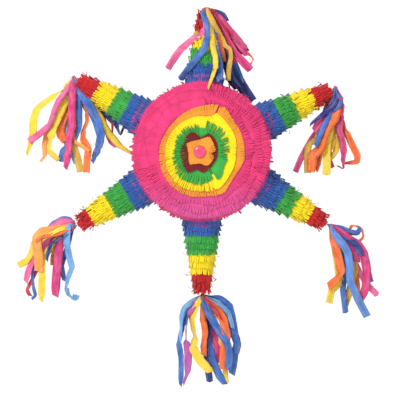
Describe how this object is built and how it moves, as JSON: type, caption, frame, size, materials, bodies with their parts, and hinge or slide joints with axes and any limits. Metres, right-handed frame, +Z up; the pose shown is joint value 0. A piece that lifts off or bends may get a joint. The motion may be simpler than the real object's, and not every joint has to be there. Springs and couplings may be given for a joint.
{
  "type": "star pinata",
  "caption": "Six-pointed star pinata: a fringed crepe drum with a bullseye front, cones round its rim, hanging streamers, a fill flap and a wire hang loop.",
  "frame": {"origin": "the point under the top of the wire hang loop, where it bears on a hook or rope", "axes": "+Z up, +X to the right as seen from the front, -Y the bullseye front, +Y the back with the fill flap"},
  "size_m": [0.6115, 0.1215, 0.6367],
  "materials": {
    "cardboard": "plain brown board",
    "cone_card": "rolled card",
    "crepe_pink": "matt crepe fringe",
    "crepe_orange": "matt crepe fringe",
    "crepe_yellow": "matt crepe fringe",
    "crepe_green": "matt crepe fringe",
    "crepe_dark_red": "matt crepe fringe",
    "crepe_red": "matt crepe fringe",
    "crepe_blue": "matt crepe fringe",
    "pink_disc": "glossy paper",
    "streamer_magenta": "crepe streamer",
    "streamer_orange": "crepe streamer",
    "streamer_blue": "crepe streamer",
    "streamer_yellow": "crepe streamer",
    "wire": "drawn steel wire"
  },
  "bodies": {
    "star": {"front_panel": "cardboard", "back_panel": "cardboard", "rim_band": "cardboard", "cone_top": "cone_card", "cone_upper_right": "cone_card", "cone_lower_right": "cone_card", "cone_bottom": "cone_card", "cone_lower_left": "cone_card", "cone_upper_left": "cone_card", "rim_fringe": "crepe_pink", "front_pink": "crepe_pink", "back_pink_outer": "crepe_pink", "back_pink_inner": "crepe_pink", "front_ring_orange": "crepe_orange", "front_ring_yellow": "crepe_yellow", "front_ring_green": "crepe_green", "front_ring_red": "crepe_dark_red", "front_petals": "crepe_orange", "front_centre_disc": "pink_disc", "blue_band_top": "crepe_blue", "green_band_top": "crepe_green", "yellow_band_top": "crepe_yellow", "red_band_top": "crepe_red", "blue_band_upper_right": "crepe_blue", "green_band_upper_right": "crepe_green", "yellow_band_upper_right": "crepe_yellow", "red_band_upper_right": "crepe_red", "blue_band_lower_right": "crepe_blue", "green_band_lower_right": "crepe_green", "yellow_band_lower_right": "crepe_yellow", "red_band_lower_right": "crepe_red", "blue_band_bottom": "crepe_blue", "green_band_bottom": "crepe_green", "yellow_band_bottom": "crepe_yellow", "red_band_bottom": "crepe_red", "blue_band_lower_left": "crepe_blue", "green_band_lower_left": "crepe_green", "yellow_band_lower_left": "crepe_yellow", "red_band_lower_left": "crepe_red", "blue_band_upper_left": "crepe_blue", "green_band_upper_left": "crepe_green", "yellow_band_upper_left": "crepe_yellow", "red_band_upper_left": "crepe_red", "top_knot": "streamer_magenta", "hang_loop": "wire"},
    "flap": {"fill_flap": "cardboard", "flap_fringe": "crepe_pink"},
    "tie_upper_right": {"tie_upper_right": "streamer_magenta"},
    "tassel_upper_right": {"tassel_upper_right": "streamer_orange"},
    "tie_lower_right": {"tie_lower_right": "streamer_magenta"},
    "tassel_lower_right": {"tassel_lower_right": "streamer_blue"},
    "tie_bottom": {"tie_bottom": "streamer_magenta"},
    "tassel_bottom": {"tassel_bottom": "streamer_magenta"},
    "tie_lower_left": {"tie_lower_left": "streamer_magenta"},
    "tassel_lower_left": {"tassel_lower_left": "streamer_magenta"},
    "tie_upper_left": {"tie_upper_left": "streamer_magenta"},
    "tassel_upper_left": {"tassel_upper_left": "streamer_yellow"},
    "strand_front": {"strand_front": "streamer_yellow"},
    "strand_left": {"strand_left": "streamer_magenta"},
    "strand_right": {"strand_right": "streamer_magenta"}
  },
  "joints": [
    {"name": "flap_hinge", "type": "hinge", "parent": "star", "child": "flap", "pos_m": [0, 0.024, -0.1775], "axis": [1, 0, 0], "range_deg": [0, 110]},
    {"name": "upper_right_fore_aft", "type": "hinge", "parent": "star", "child": "tie_upper_right", "pos_m": [0.22745, -0.024, -0.09551], "axis": [1, 0, 0], "range_deg": [-45, 45]},
    {"name": "upper_right_side", "type": "hinge", "parent": "tie_upper_right", "child": "tassel_upper_right", "pos_m": [0.22745, -0.024, -0.09551], "axis": [0, 1, 0], "range_deg": [-40, 0]},
    {"name": "lower_right_fore_aft", "type": "hinge", "parent": "star", "child": "tie_lower_right", "pos_m": [0.21824, -0.024, -0.33], "axis": [1, 0, 0], "range_deg": [-45, 45]},
    {"name": "lower_right_side", "type": "hinge", "parent": "tie_lower_right", "child": "tassel_lower_right", "pos_m": [0.21824, -0.024, -0.33], "axis": [0, 1, 0], "range_deg": [-35, 35]},
    {"name": "bottom_fore_aft", "type": "hinge", "parent": "star", "child": "tie_bottom", "pos_m": [0, -0.024, -0.45], "axis": [1, 0, 0], "range_deg": [-45, 45]},
    {"name": "bottom_side", "type": "hinge", "parent": "tie_bottom", "child": "tassel_bottom", "pos_m": [0, -0.024, -0.45], "axis": [0, 1, 0], "range_deg": [-40, 40]},
    {"name": "lower_left_fore_aft", "type": "hinge", "parent": "star", "child": "tie_lower_left", "pos_m": [-0.21713, -0.024, -0.3319], "axis": [1, 0, 0], "range_deg": [-45, 45]},
    {"name": "lower_left_side", "type": "hinge", "parent": "tie_lower_left", "child": "tassel_lower_left", "pos_m": [-0.21713, -0.024, -0.3319], "axis": [0, 1, 0], "range_deg": [-35, 35]},
    {"name": "upper_left_fore_aft", "type": "hinge", "parent": "star", "child": "tie_upper_left", "pos_m": [-0.21824, -0.024, -0.078], "axis": [1, 0, 0], "range_deg": [-45, 45]},
    {"name": "upper_left_side", "type": "hinge", "parent": "tie_upper_left", "child": "tassel_upper_left", "pos_m": [-0.21824, -0.024, -0.078], "axis": [0, 1, 0], "range_deg": [0, 40]},
    {"name": "strand_front_lift", "type": "hinge", "parent": "star", "child": "strand_front", "pos_m": [0.01, -0.039, 0.034], "axis": [1, 0, 0], "range_deg": [-50, 0]},
    {"name": "strand_left_lift", "type": "hinge", "parent": "star", "child": "strand_left", "pos_m": [-0.006, -0.028, 0.034], "axis": [0, 1, 0], "range_deg": [0, 50]},
    {"name": "strand_right_lift", "type": "hinge", "parent": "star", "child": "strand_right", "pos_m": [0.022, -0.02, 0.034], "axis": [0, 1, 0], "range_deg": [-45, 0]}
  ]
}
